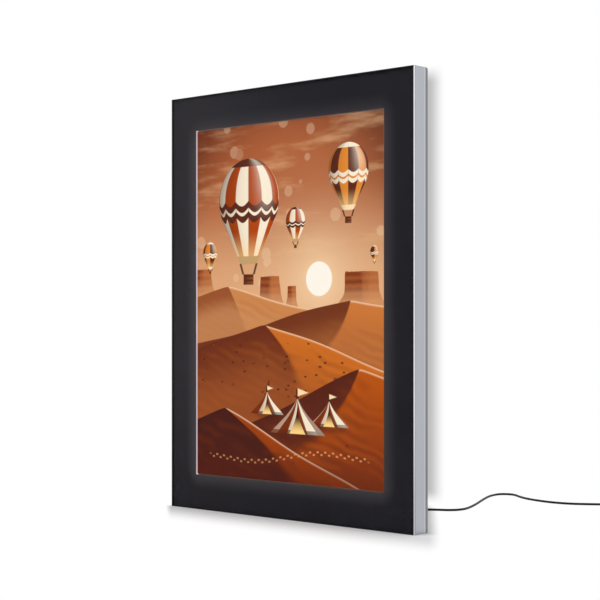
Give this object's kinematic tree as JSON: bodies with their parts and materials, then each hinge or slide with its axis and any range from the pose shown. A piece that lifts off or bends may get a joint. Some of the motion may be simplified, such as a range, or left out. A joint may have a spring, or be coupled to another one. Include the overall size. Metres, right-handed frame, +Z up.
{
  "type": "illuminated poster frame",
  "caption": "Back-lit A2 poster frame with a clear black-bordered front held by magnets, mitred silver profiles and a low-voltage lead.",
  "frame": {"origin": "middle of the footprint of the frame without its lead, on the surface that its lower edge stands on", "axes": "+Z up along the frame's height, +Y towards the wall side, -Y out of the lit face, +X to the viewer's right"},
  "size_m": [0.715, 0.526, 0.704],
  "materials": {
    "clear_acrylic": "polished clear sheet",
    "black_print": "even black ink",
    "pale_strip": "satin pale grey",
    "poster_film": null,
    "opal_acrylic": "satin opal sheet",
    "white_plastic": "matt white",
    "zinc_steel": "zinc-plated",
    "nickel_magnet": "nickel-plated",
    "satin_aluminium": "satin anodised",
    "cast_key": "as cast",
    "rear_panel": "white coil-coated sheet",
    "circuit_board": "white solder mask with clear lenses",
    "wire_sheath": "red wire",
    "black_sheath": "satin black lead",
    "black_shell": "fine-textured black moulding",
    "plated_pin": "nickel-plated",
    "grey_rubber": "matt rubber"
  },
  "bodies": {
    "root": {"light_tray": "white_plastic", "diffuser_panel": "opal_acrylic", "magnet_left_1": "nickel_magnet", "magnet_left_2": "nickel_magnet", "magnet_left_3": "nickel_magnet", "magnet_right_1": "nickel_magnet", "magnet_right_2": "nickel_magnet", "magnet_right_3": "nickel_magnet", "rail_left": "satin_aluminium", "rail_right": "satin_aluminium", "rail_top": "satin_aluminium", "rail_bottom": "satin_aluminium", "corner_key_1": "cast_key", "corner_key_2": "cast_key", "corner_key_3": "cast_key", "corner_key_4": "cast_key", "back_panel": "rear_panel", "led_bar_1": "circuit_board", "led_bar_2": "circuit_board", "led_bar_3": "circuit_board", "led_bar_4": "circuit_board", "led_bar_5": "circuit_board", "led_harness": "wire_sheath", "hanger_left": "zinc_steel", "hanger_right": "zinc_steel", "hanger_screw_1": "zinc_steel", "hanger_screw_2": "zinc_steel", "hanger_screw_3": "zinc_steel", "hanger_screw_4": "zinc_steel", "panel_screw_1": "zinc_steel", "panel_screw_2": "zinc_steel", "panel_screw_3": "zinc_steel", "panel_screw_4": "zinc_steel", "panel_screw_5": "zinc_steel", "panel_screw_6": "zinc_steel", "bumper_1": "grey_rubber", "bumper_2": "grey_rubber", "bumper_3": "grey_rubber", "bumper_4": "grey_rubber", "cord_relief": "black_shell", "cord_lead": "black_sheath", "cord_coil": "black_sheath", "cord_tie": "black_shell", "cord_tail": "black_sheath", "adaptor_case": "black_shell", "adaptor_relief": "black_shell", "adaptor_pin_1": "plated_pin", "adaptor_pin_2": "plated_pin"},
    "cover": {"cover_panel": "clear_acrylic", "border_print": "black_print", "carrier_left": "pale_strip", "carrier_right": "pale_strip", "carrier_top": "pale_strip", "carrier_bottom": "pale_strip", "keeper_left": "zinc_steel", "keeper_right": "zinc_steel"},
    "poster": {"poster_sheet": "poster_film"}
  },
  "joints": [
    {"name": "cover_pull", "type": "slide", "parent": "root", "child": "cover", "axis": [0, -1, 0], "range_m": [0, 0.08]},
    {"name": "poster_out", "type": "slide", "parent": "root", "child": "poster", "axis": [0, -1, 0], "range_m": [0, 0.04]}
  ],
  "couplings": [
    {"joint": "poster_out", "follows": "cover_pull", "ratio": 0.5}
  ]
}
